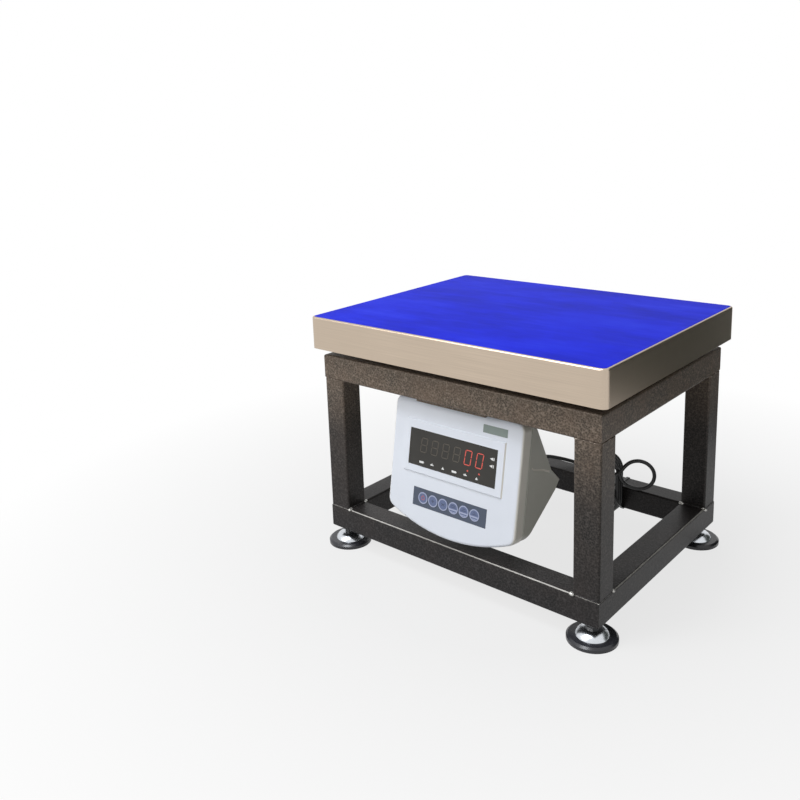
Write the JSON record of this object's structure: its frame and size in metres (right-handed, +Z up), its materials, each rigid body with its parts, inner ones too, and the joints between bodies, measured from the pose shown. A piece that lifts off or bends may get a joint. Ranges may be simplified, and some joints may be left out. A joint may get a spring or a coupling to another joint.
{
  "type": "platform scale",
  "caption": "Bench platform scale: flat stainless pan on a tube stand with levelling feet, and a hung wedge indicator with window and round keys.",
  "frame": {"origin": "on the floor, under the middle of the feet", "axes": "+X right along the long front, +Y to the back, +Z up"},
  "size_m": [0.506, 0.402, 0.3782],
  "materials": {
    "abs_white": "satin",
    "aluminium": "machined",
    "battery_case": "matte",
    "black_steel": "satin",
    "board_green": "matte",
    "brass": "polished",
    "bumper_rubber": "matte",
    "cable_black": "satin",
    "chrome": "polished",
    "core_steel": "satin",
    "film": "gloss",
    "foot_black": "matte",
    "hammertone": "hammertone",
    "key_blue": "satin",
    "keypad_blue": "satin",
    "label": "satin",
    "led_block": "matte",
    "plug_black": "satin",
    "stainless": "brushed",
    "window": "gloss",
    "zinc": "satin"
  },
  "bodies": {
    "frame": {"battery": "battery_case", "bottom_front_rail": "hammertone", "bottom_left_rail": "hammertone", "bottom_rear_rail": "hammertone", "bottom_right_rail": "hammertone", "cord_glands": "cable_black", "cord_hank": "cable_black", "cord_tie": "cable_black", "cross_members": "hammertone", "display_window": "window", "foot_nuts": "black_steel", "front_shell": "abs_white", "hanger_bracket": "hammertone", "indicator_screws": "zinc", "keypad_overlay": "keypad_blue", "label_plate": "label", "led_digits": "led_block", "leg_front_left": "hammertone", "leg_front_right": "hammertone", "leg_rear_left": "hammertone", "leg_rear_right": "hammertone", "load_cell": "aluminium", "load_cell_lead": "cable_black", "lower_bolts": "zinc", "lower_spacer": "zinc", "main_board": "board_green", "mains_cord": "cable_black", "overload_stops": "zinc", "plug_body": "plug_black", "plug_pins": "brass", "rear_shell": "abs_white", "top_front_rail": "hammertone", "top_left_rail": "hammertone", "top_rear_rail": "hammertone", "top_right_rail": "hammertone", "transformer": "core_steel"},
    "platform": {"upper_spacer": "zinc", "upper_bolts": "zinc", "platform_bars": "hammertone", "pan_bumpers": "bumper_rubber"},
    "pan": {"pan_tray": "stainless", "pan_film": "film"},
    "key_1": {"key_1": "key_blue"},
    "key_2": {"key_2": "key_blue"},
    "key_3": {"key_3": "key_blue"},
    "key_4": {"key_4": "key_blue"},
    "key_5": {"key_5": "key_blue"},
    "key_6": {"key_6": "key_blue"},
    "foot_front_left": {"foot_front_left_pad": "foot_black", "foot_front_left_dome": "chrome"},
    "stem_front_left": {"foot_front_left_stem": "black_steel"},
    "foot_front_right": {"foot_front_right_pad": "foot_black", "foot_front_right_dome": "chrome"},
    "stem_front_right": {"foot_front_right_stem": "black_steel"},
    "foot_rear_left": {"foot_rear_left_pad": "foot_black", "foot_rear_left_dome": "chrome"},
    "stem_rear_left": {"foot_rear_left_stem": "black_steel"},
    "foot_rear_right": {"foot_rear_right_pad": "foot_black", "foot_rear_right_dome": "chrome"},
    "stem_rear_right": {"foot_rear_right_stem": "black_steel"}
  },
  "joints": [
    {"name": "platform_sink", "type": "slide", "parent": "frame", "child": "platform", "axis": [0, 0, 1], "range_m": [-0.001, 0], "stiffness_N_per_m": 2600000, "deforming": ["load_cell"]},
    {"name": "pan_lift", "type": "slide", "parent": "platform", "child": "pan", "axis": [0, 0, 1], "range_m": [0, 0.06]},
    {"name": "key_1_press", "type": "slide", "parent": "frame", "child": "key_1", "axis": [0, 0.9848, -0.1736], "range_m": [0, 0.0004], "stiffness_N_per_m": 6000},
    {"name": "key_2_press", "type": "slide", "parent": "frame", "child": "key_2", "axis": [0, 0.9848, -0.1736], "range_m": [0, 0.0004], "stiffness_N_per_m": 6000},
    {"name": "key_3_press", "type": "slide", "parent": "frame", "child": "key_3", "axis": [0, 0.9848, -0.1736], "range_m": [0, 0.0004], "stiffness_N_per_m": 6000},
    {"name": "key_4_press", "type": "slide", "parent": "frame", "child": "key_4", "axis": [0, 0.9848, -0.1736], "range_m": [0, 0.0004], "stiffness_N_per_m": 6000},
    {"name": "key_5_press", "type": "slide", "parent": "frame", "child": "key_5", "axis": [0, 0.9848, -0.1736], "range_m": [0, 0.0004], "stiffness_N_per_m": 6000},
    {"name": "key_6_press", "type": "slide", "parent": "frame", "child": "key_6", "axis": [0, 0.9848, -0.1736], "range_m": [0, 0.0004], "stiffness_N_per_m": 6000},
    {"name": "foot_front_left_level", "type": "slide", "parent": "frame", "child": "foot_front_left", "axis": [0, 0, 1], "range_m": [-0.02, 0.0015]},
    {"name": "foot_front_left_screw", "type": "hinge", "parent": "foot_front_left", "child": "stem_front_left", "pos_m": [-0.219, -0.167, 0.012], "axis": [0, 0, 1], "range_deg": [-4115.29, 309.57]},
    {"name": "foot_front_right_level", "type": "slide", "parent": "frame", "child": "foot_front_right", "axis": [0, 0, 1], "range_m": [-0.02, 0.0015]},
    {"name": "foot_front_right_screw", "type": "hinge", "parent": "foot_front_right", "child": "stem_front_right", "pos_m": [0.219, -0.167, 0.012], "axis": [0, 0, 1], "range_deg": [-4115.29, 309.57]},
    {"name": "foot_rear_left_level", "type": "slide", "parent": "frame", "child": "foot_rear_left", "axis": [0, 0, 1], "range_m": [-0.02, 0.0015]},
    {"name": "foot_rear_left_screw", "type": "hinge", "parent": "foot_rear_left", "child": "stem_rear_left", "pos_m": [-0.219, 0.167, 0.012], "axis": [0, 0, 1], "range_deg": [-4115.29, 309.57]},
    {"name": "foot_rear_right_level", "type": "slide", "parent": "frame", "child": "foot_rear_right", "axis": [0, 0, 1], "range_m": [-0.02, 0.0015]},
    {"name": "foot_rear_right_screw", "type": "hinge", "parent": "foot_rear_right", "child": "stem_rear_right", "pos_m": [0.219, 0.167, 0.012], "axis": [0, 0, 1], "range_deg": [-4115.29, 309.57]}
  ],
  "couplings": [
    {"joint": "foot_front_left_screw", "follows": "foot_front_left_level", "rad_per_m": 3590.4},
    {"joint": "foot_front_right_screw", "follows": "foot_front_right_level", "rad_per_m": 3590.4},
    {"joint": "foot_rear_left_screw", "follows": "foot_rear_left_level", "rad_per_m": 3590.4},
    {"joint": "foot_rear_right_screw", "follows": "foot_rear_right_level", "rad_per_m": 3590.4}
  ]
}
